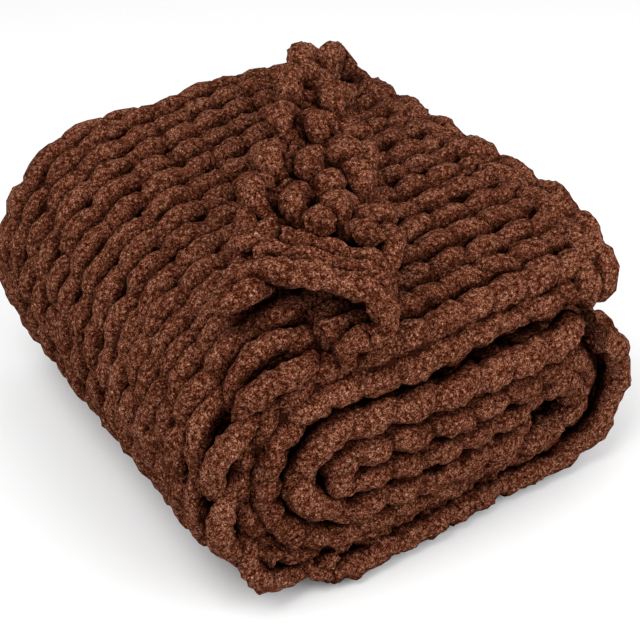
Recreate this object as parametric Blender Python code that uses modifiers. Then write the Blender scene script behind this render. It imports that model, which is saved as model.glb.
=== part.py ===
"""Chunky knit blanket, folded up, with one corner of its top layer turned back.

One piece of thick ribbed cloth. Across its width it is folded into three layers, bottom, middle and
top. That stack is then folded like a letter along X: a bottom panel on the floor, a middle panel
inside it, and a top panel over both, with a large round fold on the left and a smaller one on the
right. Metres, +Z up. X runs along the front face, Y runs back, and the floor is z = 0.
"""

import math

import bmesh
import bpy
from mathutils import Vector

# The cloth
LAYER_PITCH = 0.026
CLOTH_THICKNESS = 0.017
RIBS = 46
RIB_HEIGHT = 0.0034

# The folded stack
DEPTH = 0.42
TOP_END_X = 0.402
RIGHT_FOLD_X = 0.331
INSIDE_END_X = 0.094
INSIDE_END_ROUND = 0.03
HAIRPIN_RADIUS = 0.008
PANEL_GAP = 0.004
STACK = 3 * LAYER_PITCH
BOTTOM_LAYER_HEIGHT = 0.5 * LAYER_PITCH
MIDDLE_LAYER_HEIGHT = 1.5 * LAYER_PITCH
TOP_LAYER_HEIGHT = 2.5 * LAYER_PITCH

# The three layers across the stack
FRONT_FOLD_Y = 0.032
BACK_FOLD_Y = DEPTH - LAYER_PITCH
BACK_SELVAGE_Y = DEPTH - 0.012
DROOP_ANGLE = math.radians(58)
FRONT_DRAWN_IN = 0.014
FOOTPRINT_MIDDLE = Vector((0.2129, 0.2022))

# The heights of each panel's inner side, and the centres of the two round folds
BOTTOM_INNER_Z = TOP_LAYER_HEIGHT + CLOTH_THICKNESS / 2
MIDDLE_INNER_Z = BOTTOM_INNER_Z + 2 * HAIRPIN_RADIUS
TOP_INNER_Z = MIDDLE_INNER_Z + STACK + PANEL_GAP
LEFT_INNER_RADIUS = (TOP_INNER_Z - BOTTOM_INNER_Z) / 2
LEFT_FOLD_X = LEFT_INNER_RADIUS + STACK
LEFT_FOLD_Z = (TOP_INNER_Z + BOTTOM_INNER_Z) / 2
RIGHT_FOLD_Z = BOTTOM_INNER_Z + HAIRPIN_RADIUS
RIGHT_FOLD_SLACK = 0.012

# The turned corner: where its crease starts and ends on the top, and how the free edges run
CREASE_FRONT = Vector((0.1265, -0.0136))
CREASE_BACK = Vector((0.303, 0.372))
CREASE_RADIUS = 0.015
CREASE_RADIUS_GROWTH = 0.010
TOP_LAYER_END_X = 0.285
TOP_LAYER_END_SLANT = 0.21
CORNER_FLARE = 0.022
SELVAGE_ARCH = 0.012
DROOP_BLEND = 0.06
SELVAGE_ARCH_LENGTH = 0.11
FRONT_CORNER_SETBACK = 0.03
FRONT_CORNER_REACH = 0.12
SAG_OVER_LEFT_FOLD = 0.8
SAG_REACH = 0.9

# Round the left fold the front selvage lies flat with its layer, and under the stack it half curls again
CURL_UNDER_STACK = 0.5

# Past the top panel the front fold bulges forward, flush with the top layer's front edge
FOLD_FULLNESS = 0.014
FULLNESS_REACH = 0.06
FULLNESS_START = 0.1

# How the soft stack has settled: a slow wave along each axis, none of it where the cloth is on the floor
WAVE_X = 0.004
WAVE_X_PER_Y = 11
WAVE_X_PHASE = 0.6
WAVE_Y = 0.003
WAVE_Y_PER_X = 17
WAVE_Y_PER_Z = 9
WAVE_Z = 0.004
WAVE_Z_PER_X = 14
WAVE_Z_PER_Y = 8
WAVE_Z_PHASE = 1.1
WAVE_LIFT = 0.08
DRAWN_IN_REACH_X = 0.2
DRAWN_IN_TOP_Z = 0.02
DRAWN_IN_REACH_Z = 0.12
RIB_FADE_LENGTH = 0.05

# Lengths along the stack of its five stretches, from the free right end inwards
TOP_LENGTH = TOP_END_X - LEFT_FOLD_X
LEFT_LENGTH = math.pi * (LEFT_INNER_RADIUS + STACK / 2)
BOTTOM_LENGTH = RIGHT_FOLD_X - LEFT_FOLD_X
RIGHT_LENGTH = math.pi * (HAIRPIN_RADIUS + STACK / 2)
MIDDLE_LENGTH = RIGHT_FOLD_X - INSIDE_END_X
MIDDLE_START = TOP_LENGTH + LEFT_LENGTH + BOTTOM_LENGTH + RIGHT_LENGTH

# Lengths across the cloth, from the back selvage of the bottom layer to the front selvage of the top
BOTTOM_LAYER = BACK_SELVAGE_Y - FRONT_FOLD_Y
FOLD_ARC = math.pi * LAYER_PITCH / 2
INNER_LAYER = BACK_FOLD_Y - FRONT_FOLD_Y
DROOP_RADIUS = 1.5 * LAYER_PITCH
DROOP_ARC = DROOP_ANGLE * DROOP_RADIUS
WIDTH = BOTTOM_LAYER + FOLD_ARC + INNER_LAYER + FOLD_ARC + INNER_LAYER + DROOP_ARC
RIB_PITCH = WIDTH / RIBS

# Columns of points across each stretch of the width, as (name, length, columns per rib)
STRETCHES = (
    ("bottom layer", BOTTOM_LAYER, 0.45),
    ("front fold", FOLD_ARC, 2),
    ("middle layer", INNER_LAYER, 2),
    ("back fold", FOLD_ARC, 2),
    ("top layer and its droop", INNER_LAYER + DROOP_ARC, 2),
)
# Rings of points along each stretch of the stack, as (name, length, rings)
RINGS = (
    ("top panel", TOP_LENGTH, 13),
    ("left fold", LEFT_LENGTH, 10),
    ("bottom panel", BOTTOM_LENGTH, 3),
    ("right fold", RIGHT_LENGTH, 7),
    ("middle panel", MIDDLE_LENGTH, 2),
)

COLOUR = (0.075, 0.024, 0.016, 1.0)
ROUGHNESS = 0.95


def smooth(value):
    """0 below 0, 1 above 1, and an S curve between."""
    t = min(max(value, 0.0), 1.0)
    return t * t * (3 - 2 * t)


def section(across):
    """The cloth's place in the stack at this distance across it: (y, height, y were it not drooping)."""
    fold_radius = LAYER_PITCH / 2
    if across <= BOTTOM_LAYER:
        y = BACK_SELVAGE_Y - across
        return y, BOTTOM_LAYER_HEIGHT, y
    across -= BOTTOM_LAYER
    if across <= FOLD_ARC:
        angle = across / fold_radius
        y = FRONT_FOLD_Y - fold_radius * math.sin(angle)
        return y, LAYER_PITCH - fold_radius * math.cos(angle), y
    across -= FOLD_ARC
    if across <= INNER_LAYER:
        y = FRONT_FOLD_Y + across
        return y, MIDDLE_LAYER_HEIGHT, y
    across -= INNER_LAYER
    if across <= FOLD_ARC:
        angle = across / fold_radius
        y = BACK_FOLD_Y + fold_radius * math.sin(angle)
        return y, 2 * LAYER_PITCH - fold_radius * math.cos(angle), y
    across -= FOLD_ARC
    if across <= INNER_LAYER:
        y = BACK_FOLD_Y - across
        return y, TOP_LAYER_HEIGHT, y
    across -= INNER_LAYER
    angle = across / DROOP_RADIUS
    y = FRONT_FOLD_Y - DROOP_RADIUS * math.sin(angle)
    return y, LAYER_PITCH + DROOP_RADIUS * math.cos(angle), FRONT_FOLD_Y - across


def top_layer_share(across):
    """0 up to the middle layer, 1 on the top layer, and between them round the back fold."""
    return smooth((across - BOTTOM_LAYER - FOLD_ARC - INNER_LAYER) / FOLD_ARC)


def setback(across, flat_y):
    """How far the cloth's free edge on the top lies short of the stack's right end."""
    middle = FRONT_CORNER_SETBACK * max(0.0, 1 - flat_y / FRONT_CORNER_REACH) ** 2
    top = TOP_END_X - (TOP_LAYER_END_X + TOP_LAYER_END_SLANT * flat_y)
    share = top_layer_share(across)
    return middle * (1 - share) + top * share


def carrier(along):
    """The stack's inner side at this distance along it: (x, z, outward x, outward z)."""
    if along <= TOP_LENGTH:
        return TOP_END_X - along, TOP_INNER_Z, 0.0, 1.0
    along -= TOP_LENGTH
    if along <= LEFT_LENGTH:
        angle = math.pi / 2 + math.pi * along / LEFT_LENGTH
        out_x, out_z = math.cos(angle), math.sin(angle)
        return (
            LEFT_FOLD_X + LEFT_INNER_RADIUS * out_x,
            LEFT_FOLD_Z + LEFT_INNER_RADIUS * out_z,
            out_x,
            out_z,
        )
    along -= LEFT_LENGTH
    if along <= BOTTOM_LENGTH:
        return LEFT_FOLD_X + along, BOTTOM_INNER_Z, 0.0, -1.0
    along -= BOTTOM_LENGTH
    if along <= RIGHT_LENGTH:
        angle = -math.pi / 2 + math.pi * along / RIGHT_LENGTH
        out_x, out_z = math.cos(angle), math.sin(angle)
        return (
            RIGHT_FOLD_X + HAIRPIN_RADIUS * out_x,
            RIGHT_FOLD_Z + HAIRPIN_RADIUS * out_z,
            out_x,
            out_z,
        )
    along -= RIGHT_LENGTH
    return RIGHT_FOLD_X - along, MIDDLE_INNER_Z, 0.0, 1.0


def turned_back(flat, height):
    """A point of the top layer lying flat at (x, y), carried over the crease where it is past it."""
    run = (CREASE_BACK - CREASE_FRONT).normalized()
    past = Vector((run.y, -run.x))
    from_front = flat - CREASE_FRONT
    beyond = from_front.dot(past)
    if beyond <= 0:
        return flat, height
    share = from_front.dot(run) / (CREASE_BACK - CREASE_FRONT).length
    radius = CREASE_RADIUS + CREASE_RADIUS_GROWTH * max(share, 0.0) ** 2
    turn = beyond / radius
    if turn < math.pi:
        return flat + past * (radius * math.sin(turn) - beyond), height + radius * (1 - math.cos(turn))
    lying = beyond - math.pi * radius
    place = flat + past * (-lying - beyond)
    height += 2 * radius
    over_fold = LEFT_FOLD_X - place.x
    if over_fold > 0:
        outer = LEFT_INNER_RADIUS + TOP_LAYER_HEIGHT
        reach = min(over_fold, SAG_REACH * outer)
        height -= SAG_OVER_LEFT_FOLD * (outer - math.sqrt(outer**2 - reach**2))
    from_selvage = max(0.0, 1 - (flat.y + CORNER_FLARE) / FRONT_CORNER_REACH)
    arch = math.sin(math.pi * min(1.0, lying / SELVAGE_ARCH_LENGTH))
    height += SELVAGE_ARCH * from_selvage * arch
    return place, height


def cloth_point(along, across):
    """The middle of the cloth's thickness at this distance along the stack and across the cloth."""
    y, height, flat_y = section(across)
    short = setback(across, flat_y)
    if along < TOP_LENGTH:
        along = short + along * (TOP_LENGTH - short) / TOP_LENGTH
    x, z, out_x, out_z = carrier(along)
    share = top_layer_share(across)
    flattened = smooth((along - TOP_LENGTH) / LEFT_LENGTH)
    under_stack = (along - TOP_LENGTH - LEFT_LENGTH) / BOTTOM_LENGTH
    flattened *= 1 - CURL_UNDER_STACK * smooth(2 * under_stack + 0.5)
    if share == 1.0 and flattened > 0:
        y += (flat_y - y) * flattened
        height += (TOP_LAYER_HEIGHT - height) * flattened
    from_front_fold = abs(across - BOTTOM_LAYER - FOLD_ARC / 2) / FULLNESS_REACH
    past_top = smooth((along - TOP_LENGTH) / FULLNESS_START)
    y -= FOLD_FULLNESS * smooth(1 - from_front_fold) * past_top
    into_middle = (along - MIDDLE_START) / MIDDLE_LENGTH
    if into_middle > 0:
        off_centre = height / MIDDLE_LAYER_HEIGHT - 1
        x = RIGHT_FOLD_X - into_middle * (MIDDLE_LENGTH - INSIDE_END_ROUND * off_centre**2)
    if along < TOP_LENGTH and share == 1.0:
        flare = CORNER_FLARE * smooth((x - LEFT_FOLD_X) / (TOP_LAYER_END_X - LEFT_FOLD_X))
        flat_y -= flare * smooth(1 - flat_y / FRONT_CORNER_REACH)
        run = (CREASE_BACK - CREASE_FRONT).normalized()
        beyond = (Vector((x, flat_y)) - CREASE_FRONT).dot(Vector((run.y, -run.x)))
        drooped = smooth(-beyond / DROOP_BLEND)
        flat = Vector((x, flat_y + (y - flat_y) * drooped))
        lying = TOP_LAYER_HEIGHT + (height - TOP_LAYER_HEIGHT) * drooped
        place, height = turned_back(flat, lying)
        return Vector((place.x, place.y, z + height))
    in_right_fold = along > TOP_LENGTH + LEFT_LENGTH + BOTTOM_LENGTH
    if in_right_fold and out_x > 0:
        height += RIGHT_FOLD_SLACK * share * out_x**2
    return Vector((x + out_x * height, y, z + out_z * height))


def settled(point):
    """A point moved by the soft stack's unevenness, level on the floor, with the origin under its middle."""
    lift = smooth((point.z - CLOTH_THICKNESS) / WAVE_LIFT)
    drawn_in = FRONT_DRAWN_IN * smooth((point.x - LEFT_FOLD_X) / DRAWN_IN_REACH_X)
    drawn_in *= 1 - point.y / DEPTH
    drawn_in *= smooth((TOP_INNER_Z + DRAWN_IN_TOP_Z - point.z) / DRAWN_IN_REACH_Z)
    wave_x = WAVE_X * math.sin(WAVE_X_PER_Y * point.y + WAVE_X_PHASE)
    wave_y = WAVE_Y * math.sin(WAVE_Y_PER_X * point.x + WAVE_Y_PER_Z * point.z)
    wave_z = WAVE_Z * math.sin(WAVE_Z_PER_X * point.x + WAVE_Z_PER_Y * point.y + WAVE_Z_PHASE)
    moved = point + Vector((wave_x, wave_y, wave_z)) * lift + Vector((0, drawn_in, 0))
    return moved - FOOTPRINT_MIDDLE.to_3d()


def columns():
    """Distances across the cloth, as (distance, how far this column stands out as a rib, -1 to 1)."""
    found = [(0.0, 0.0)]
    start = 0.0
    for _name, length, per_rib in STRETCHES:
        count = max(2, round(per_rib * length / RIB_PITCH))
        for index in range(1, count + 1):
            raised = 0.0 if per_rib < 1 else (1 if len(found) % 2 else -1)
            found.append((start + length * index / count, raised))
        start += length
    return found


def rings():
    """Distances along the stack."""
    found = [0.0]
    start = 0.0
    for _name, length, count in RINGS:
        found += [start + length * index / count for index in range(1, count + 1)]
        start += length
    return found


def rib_fade(along):
    """Ribs are pressed flat where the cloth lies on the floor."""
    floor_start = TOP_LENGTH + LEFT_LENGTH
    floor_end = floor_start + BOTTOM_LENGTH
    past_start = smooth((along - floor_start) / RIB_FADE_LENGTH + 1)
    before_end = smooth((floor_end - along) / RIB_FADE_LENGTH + 1)
    return 1 - past_start * before_end


def make_material():
    material = bpy.data.materials.new("brown chenille")
    material.use_nodes = True
    shader = material.node_tree.nodes["Principled BSDF"]
    shader.inputs["Base Color"].default_value = COLOUR
    shader.inputs["Roughness"].default_value = ROUGHNESS
    shader.inputs["Metallic"].default_value = 0.0
    return material


def make_blanket(collection):
    """A grid laid along the folds, raised into ribs, and given the cloth's thickness."""
    across_columns = columns()
    along_rings = rings()
    mesh = bpy.data.meshes.new("blanket")
    grid = bmesh.new()
    bmesh.ops.create_grid(
        grid,
        x_segments=len(along_rings) - 1,
        y_segments=len(across_columns) - 1,
        size=1.0,
    )
    grid.verts.ensure_lookup_table()
    placed = sorted(grid.verts, key=lambda vert: (round(vert.co.x, 4), round(vert.co.y, 4)))
    for index, vert in enumerate(placed):
        ring, column = divmod(index, len(across_columns))
        vert.co = cloth_point(along_rings[ring], across_columns[column][0])
    grid.normal_update()
    raised = []
    for index, vert in enumerate(placed):
        ring, column = divmod(index, len(across_columns))
        rib = across_columns[column][1] * RIB_HEIGHT * rib_fade(along_rings[ring])
        raised.append((vert, vert.co + vert.normal * rib))
    for vert, place in raised:
        vert.co = settled(place)
    grid.to_mesh(mesh)
    grid.free()
    blanket = bpy.data.objects.new("blanket", mesh)
    collection.objects.link(blanket)
    thick = blanket.modifiers.new("cloth thickness", "SOLIDIFY")
    thick.thickness = CLOTH_THICKNESS
    thick.offset = 0.0
    mesh.materials.append(make_material())
    return blanket


def main():
    for old in list(bpy.data.objects):
        bpy.data.objects.remove(old, do_unlink=True)
    collection = bpy.data.collections.new("chunky knit blanket")
    bpy.context.scene.collection.children.link(collection)
    make_blanket(collection)


main()
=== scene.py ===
"""The chunky knit blanket dressed for its photograph.

The blanket is one cloth of thick brown chenille yarn in plain knitting. It is folded in three across its
width, and that stack is folded like a letter, with the front corner of its top layer turned back. Each
loop of the yarn is laid along the same folds as the part's solid and swept into a tube by Geometry Nodes.
A thin near-black sheet lies behind the loops as painted shade in the gaps between them, and it also keeps
light from passing between them.
"""

import dataclasses
import enum
import logging
import math

import bpy
import numpy as np
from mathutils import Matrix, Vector


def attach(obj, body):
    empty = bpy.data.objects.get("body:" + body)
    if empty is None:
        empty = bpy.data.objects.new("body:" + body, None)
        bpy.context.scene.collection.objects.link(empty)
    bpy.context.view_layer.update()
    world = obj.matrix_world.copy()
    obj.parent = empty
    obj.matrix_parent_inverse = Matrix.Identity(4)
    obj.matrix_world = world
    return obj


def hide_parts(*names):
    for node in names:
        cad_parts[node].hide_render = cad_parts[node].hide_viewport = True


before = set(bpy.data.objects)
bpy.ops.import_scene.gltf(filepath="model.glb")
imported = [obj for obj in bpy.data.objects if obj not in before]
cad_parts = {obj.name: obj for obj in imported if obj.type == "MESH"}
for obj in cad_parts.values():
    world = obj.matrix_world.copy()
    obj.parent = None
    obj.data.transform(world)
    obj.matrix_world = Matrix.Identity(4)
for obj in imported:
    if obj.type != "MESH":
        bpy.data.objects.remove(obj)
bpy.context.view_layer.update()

LOG = logging.getLogger("blanket")
SEED = 31


class Face(enum.Enum):
    """The side of the cloth, seen from the top layer's upper side, that its knit stitches face."""

    UPPER = 1.0
    LOWER = -1.0


def smooth(value: np.ndarray) -> np.ndarray:
    """0 below 0, 1 above 1, and an S curve between."""
    t = np.clip(value, 0.0, 1.0)
    return t * t * (3 - 2 * t)


def add_node(
    tree: bpy.types.NodeTree, kind: str, inputs: dict[str | int, object] | None = None, **settings: object
) -> bpy.types.Node:
    """Adds one node to a tree.

    Args:
        tree: the tree.
        kind: the node's type.
        inputs: for its inputs, by name or number, either values or the sockets that feed them.
        settings: the node's own properties.

    Returns:
        The node.
    """
    node = tree.nodes.new(kind)
    for name, value in settings.items():
        setattr(node, name, value)
    for name, value in (inputs or {}).items():
        if isinstance(value, bpy.types.NodeSocket):
            tree.links.new(value, node.inputs[name])
        else:
            node.inputs[name].default_value = value
    return node


Colour = tuple[float, float, float]


def add_ramp(
    tree: bpy.types.NodeTree, factor: bpy.types.NodeSocket, stops: list[tuple[float, Colour]]
) -> bpy.types.NodeSocket:
    """Adds a colour ramp.

    Args:
        tree: the tree.
        factor: the socket that drives it.
        stops: positions with their colours, from first to last.

    Returns:
        The socket with its colour.
    """
    ramp = add_node(tree, "ShaderNodeValToRGB", {"Fac": factor})
    elements = ramp.color_ramp.elements
    for element, (position, colour) in zip(list(elements), (stops[0], stops[-1])):
        element.position = position
        element.color = (*colour, 1.0)
    for position, colour in stops[1:-1]:
        elements.new(position).color = (*colour, 1.0)
    return ramp.outputs["Color"]


def stitch(points: int, whole: bool = False) -> tuple[np.ndarray, np.ndarray, np.ndarray]:
    """The course of the yarn through one stitch, from foot to foot.

    Args:
        points: how many points it has.
        whole: whether the last foot's point is among them.

    Returns:
        The share of the stitch passed, -0.5 to 0.5. How free the yarn is, 0 at the feet and 1 at the head.
        Whether it is on a leg, 1 there and -1 at the head and feet.
    """
    t = np.linspace(-0.5, 0.5, points, endpoint=whole)
    return t, np.cos(math.pi * t) ** 2, -np.cos(4 * math.pi * t)


def put_in_scene(name: str, data: bpy.types.ID) -> bpy.types.Object:
    """Makes an object of some data, at the origin of the scene.

    Args:
        name: the object's name.
        data: its mesh, curve, light or camera.

    Returns:
        The object.
    """
    made = bpy.data.objects.new(name, data)
    bpy.context.scene.collection.objects.link(made)
    return made


@dataclasses.dataclass
class FoldedStack:
    """The folds of the cloth, with the same sizes as the part's solid."""

    pitch: float = 0.026
    thickness: float = 0.017
    depth: float = 0.42
    top_end_x: float = 0.402
    right_fold_x: float = 0.331
    inside_end_x: float = 0.094
    inside_end_round: float = 0.03
    hairpin: float = 0.008
    panel_gap: float = 0.004
    front_fold_y: float = 0.032
    selvage_inset: float = 0.012
    droop_angle: float = math.radians(58)
    front_drawn_in: float = 0.014
    middle_x: float = 0.2129
    middle_y: float = 0.2022
    slack: float = 0.012
    crease_front: tuple[float, float] = (0.1265, -0.0136)
    crease_back: tuple[float, float] = (0.303, 0.372)
    crease_radius: float = 0.015
    crease_growth: float = 0.010
    edge_x: float = 0.285
    edge_slant: float = 0.21
    flare: float = 0.022
    arch: float = 0.012
    arch_length: float = 0.11
    droop_blend: float = 0.06
    corner_setback: float = 0.03
    corner_reach: float = 0.12
    purl_lift: float = 0.004
    apex_start: float = 0.33
    apex_press: float = 0.020
    fold_fullness: float = 0.014
    fullness_reach: float = 0.06
    fullness_lead: float = 0.16
    fullness_run: float = 0.14
    lean: float = 0.055
    lean_taper: float = 0.24
    lean_grows: tuple[float, float] = (0.11, 0.34)
    lean_fades: tuple[float, float] = (0.60, 0.16)
    lean_across: tuple[float, float] = (0.5, 0.2)
    crease_lift: float = 0.04
    apex_run: float = 0.12
    press_lead: float = 0.09
    press_run: float = 0.1
    press_before_crease: float = 0.03
    wave: float = 0.004
    side_wave: float = 0.003
    normal_step: float = 0.0015

    def __post_init__(self) -> None:
        """Works out the lengths that follow from the sizes."""
        self.stack = 3 * self.pitch
        self.back_fold_y = self.depth - self.pitch
        self.bottom_z = 2.5 * self.pitch + self.thickness / 2
        self.middle_z = self.bottom_z + 2 * self.hairpin
        self.top_z = self.middle_z + self.stack + self.panel_gap
        self.left_radius = (self.top_z - self.bottom_z) / 2
        self.left_x = self.left_radius + self.stack
        self.left_z = (self.top_z + self.bottom_z) / 2
        self.top_length = self.top_end_x - self.left_x
        self.left_length = math.pi * (self.left_radius + self.stack / 2)
        self.bottom_length = self.right_fold_x - self.left_x
        self.right_length = math.pi * (self.hairpin + self.stack / 2)
        self.middle_length = self.right_fold_x - self.inside_end_x
        self.bottom_start = self.top_length + self.left_length
        self.right_start = self.bottom_start + self.bottom_length
        self.middle_start = self.right_start + self.right_length
        self.length = self.middle_start + self.middle_length
        self.fold_arc = math.pi * self.pitch / 2
        self.droop_radius = 1.5 * self.pitch
        self.bottom_layer = self.depth - self.selvage_inset - self.front_fold_y
        self.inner_layer = self.back_fold_y - self.front_fold_y
        self.front_fold = self.bottom_layer + self.fold_arc / 2
        self.middle_layer_start = self.bottom_layer + self.fold_arc
        self.back_fold_start = self.middle_layer_start + self.inner_layer
        self.back_fold = self.back_fold_start + self.fold_arc / 2
        self.top_layer_start = self.back_fold_start + self.fold_arc
        self.droop_start = self.top_layer_start + self.inner_layer
        self.width = self.droop_start + self.droop_angle * self.droop_radius
        run = np.subtract(self.crease_back, self.crease_front)
        self.crease_length = float(np.hypot(*run))
        self.run = run / self.crease_length
        self.past = np.array((self.run[1], -self.run[0]))

    def section(self, across: np.ndarray) -> tuple[np.ndarray, np.ndarray, np.ndarray]:
        """The cloth's place in the stack at each distance across it.

        Args:
            across: distances across the cloth from its back selvage.

        Returns:
            y, the height in the stack, and the y it would have if its front selvage lay flat.
        """
        p, r = self.pitch, self.pitch / 2
        front = (across - self.bottom_layer) / r
        back = (across - self.back_fold_start) / r
        droop = (across - self.droop_start) / self.droop_radius
        below = self.depth - self.selvage_inset - across
        middle = self.front_fold_y + across - self.middle_layer_start
        top = self.back_fold_y - (across - self.top_layer_start)
        parts = [
            across <= self.bottom_layer,
            across <= self.middle_layer_start,
            across <= self.back_fold_start,
            across <= self.top_layer_start,
            across <= self.droop_start,
        ]
        y = np.select(
            parts,
            [
                below,
                self.front_fold_y - r * np.sin(front),
                middle,
                self.back_fold_y + r * np.sin(back),
                top,
            ],
            self.front_fold_y - self.droop_radius * np.sin(droop),
        )
        height = np.select(
            parts,
            [
                0.5 * p + 0 * across,
                p - r * np.cos(front),
                1.5 * p + 0 * across,
                2 * p - r * np.cos(back),
                2.5 * p + 0 * across,
            ],
            p + self.droop_radius * np.cos(droop),
        )
        flat = np.where(across > self.droop_start, self.front_fold_y - (across - self.droop_start), y)
        return y, height, flat

    def top_share(self, across: np.ndarray) -> np.ndarray:
        """0 up to the middle layer, 1 on the top layer."""
        return smooth((across - self.back_fold_start) / self.fold_arc)

    def setback(self, across: np.ndarray) -> np.ndarray:
        """How far the cloth's free edge on the top lies short of the stack's right end.

        Args:
            across: distances across the cloth from its back selvage.

        Returns:
            The distances by which it does.
        """
        flat = self.section(across)[2]
        middle = self.corner_setback * np.maximum(0.0, 1 - flat / self.corner_reach) ** 2
        top = self.top_end_x - (self.edge_x + self.edge_slant * flat)
        share = self.top_share(across)
        return middle * (1 - share) + top * share

    def slid(self, along: np.ndarray, across: np.ndarray) -> np.ndarray:
        """How far the wales have slid towards the front, where the cloth hangs over the left fold.

        Args:
            along: distances along the stack.
            across: distances across the cloth.

        Returns:
            How far they have slid at each place.
        """
        grows, fades, (start, run) = self.lean_grows, self.lean_fades, self.lean_across
        down = smooth((along - grows[0]) / grows[1]) - smooth((along - fades[0]) / fades[1])
        held = smooth((self.width - across) / self.lean_taper)
        return self.lean * down * smooth((across - start) / run) * held

    def carrier(self, along: np.ndarray) -> tuple[np.ndarray, np.ndarray, np.ndarray, np.ndarray]:
        """The stack's inner side at each distance along it.

        Args:
            along: distances along the stack from its right end on the top.

        Returns:
            x, z, and the outward direction's x and z.
        """
        left = math.pi / 2 + math.pi * (along - self.top_length) / self.left_length
        right = -math.pi / 2 + math.pi * (along - self.right_start) / self.right_length
        parts = [
            along <= self.top_length,
            along <= self.bottom_start,
            along <= self.right_start,
            along <= self.middle_start,
        ]
        zero = 0 * along
        out_x = np.select(parts, [zero, np.cos(left), zero, np.cos(right)], 0.0)
        out_z = np.select(parts, [zero + 1, np.sin(left), zero - 1, np.sin(right)], 1.0)
        x = np.select(
            parts,
            [
                self.top_end_x - along,
                self.left_x + self.left_radius * out_x,
                self.left_x + along - self.bottom_start,
                self.right_fold_x + self.hairpin * out_x,
            ],
            self.right_fold_x - (along - self.middle_start),
        )
        z = np.select(
            parts,
            [
                zero + self.top_z,
                self.left_z + self.left_radius * out_z,
                zero + self.bottom_z,
                self.bottom_z + self.hairpin + self.hairpin * out_z,
            ],
            self.middle_z,
        )
        return x, z, out_x, out_z

    def flared(self, x: np.ndarray, flat: np.ndarray) -> np.ndarray:
        """y of the top layer lying flat, whose front selvage flares out towards its free corner."""
        grown = smooth((x - self.left_x) / (self.edge_x - self.left_x))
        return flat - self.flare * grown * smooth(1 - flat / self.corner_reach)

    def beyond(self, x: np.ndarray, y: np.ndarray) -> np.ndarray:
        """How far places of the flat top layer are past the crease's line."""
        return (x - self.crease_front[0]) * self.past[0] + (y - self.crease_front[1]) * self.past[1]

    def past_crease(self, along: np.ndarray, across: np.ndarray) -> np.ndarray:
        """How far each place of the top layer is past the crease, where it is turned back.

        Args:
            along: distances along the stack.
            across: distances across the cloth.

        Returns:
            The distances past the crease, and -1 off the top layer.
        """
        x = self.top_end_x - along
        beyond = self.beyond(x, self.flared(x, self.section(across)[2]))
        on_top = (across >= self.top_layer_start) & (along < self.top_length)
        return np.where(on_top, beyond, -1.0)

    def turned_back(self, x: np.ndarray, y: np.ndarray, height: np.ndarray) -> tuple[np.ndarray, ...]:
        """Carries places of the flat top layer over the crease.

        Args:
            x: x of each place, lying flat.
            y: y of each place, lying flat.
            height: its height in the stack.

        Returns:
            x, y and height after the corner is turned back.
        """
        from_x, from_y = x - self.crease_front[0], y - self.crease_front[1]
        beyond = self.beyond(x, y)
        share = (from_x * self.run[0] + from_y * self.run[1]) / self.crease_length
        radius = self.crease_radius + self.crease_growth * np.maximum(share, 0.0) ** 2
        turn = beyond / radius
        lying = beyond - math.pi * radius
        shift = np.where(turn < math.pi, radius * np.sin(np.minimum(turn, math.pi)), -lying) - beyond
        risen = height + radius * (1 - np.cos(np.minimum(turn, math.pi)))
        new_x, new_y = x + self.past[0] * shift, y + self.past[1] * shift
        over = np.maximum(self.left_x - new_x, 0.0)
        outer = self.left_radius + 2.5 * self.pitch
        sag = 0.8 * (outer - np.sqrt(outer**2 - np.minimum(over, 0.9 * outer) ** 2))
        selvage = np.maximum(0.0, 1 - (y + self.flare) / self.corner_reach)
        bow = self.arch * selvage * np.sin(math.pi * np.clip(lying / self.arch_length, 0.0, 1.0))
        laid = risen + np.where(turn < math.pi, 0.0, bow - sag)
        there = beyond > 0
        return np.where(there, new_x, x), np.where(there, new_y, y), np.where(there, laid, height)

    def cloth(self, along: np.ndarray, across: np.ndarray) -> np.ndarray:
        """The middle of the cloth's thickness, before it settles.

        Args:
            along: distances along the stack.
            across: distances across the cloth.

        Returns:
            An array of points.
        """
        y, height, flat = self.section(across)
        x, z, out_x, out_z = self.carrier(along)
        share = self.top_share(across)
        on_top_layer = share >= 1.0
        level = 2.5 * self.pitch
        flattened = smooth((along - self.top_length) / self.left_length)
        under = (along - self.bottom_start) / self.bottom_length
        flattened = np.where(on_top_layer, flattened * (1 - 0.5 * smooth(2 * under + 0.5)), 0.0)
        y = y + (flat - y) * flattened
        height = height + (level - height) * flattened
        near_fold = smooth(1 - np.abs(across - self.front_fold) / self.fullness_reach)
        full = smooth((along - self.top_length + self.fullness_lead) / self.fullness_run)
        y = y - self.fold_fullness * near_fold * full
        into = (along - self.middle_start) / self.middle_length
        off_centre = height / (1.5 * self.pitch) - 1
        inner_x = self.right_fold_x - into * (self.middle_length - self.inside_end_round * off_centre**2)
        x = np.where(into > 0, inner_x, x)
        in_right = (along > self.right_start) & (along <= self.middle_start)
        height = height + np.where(in_right, self.slack * share * np.maximum(out_x, 0.0) ** 2, 0.0)
        lower = np.stack([x + out_x * height, y, z + out_z * height], axis=-1)
        flared = self.flared(x, flat)
        drooped = smooth(-self.beyond(x, flared) / self.droop_blend)
        top_y = flared + (y - flared) * drooped
        top = self.turned_back(x, top_y, level + (height - level) * drooped)
        upper = np.stack([top[0], top[1], z + top[2]], axis=-1)
        turned = on_top_layer & (along < self.top_length)
        return np.where(turned[..., None], upper, lower)

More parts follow.
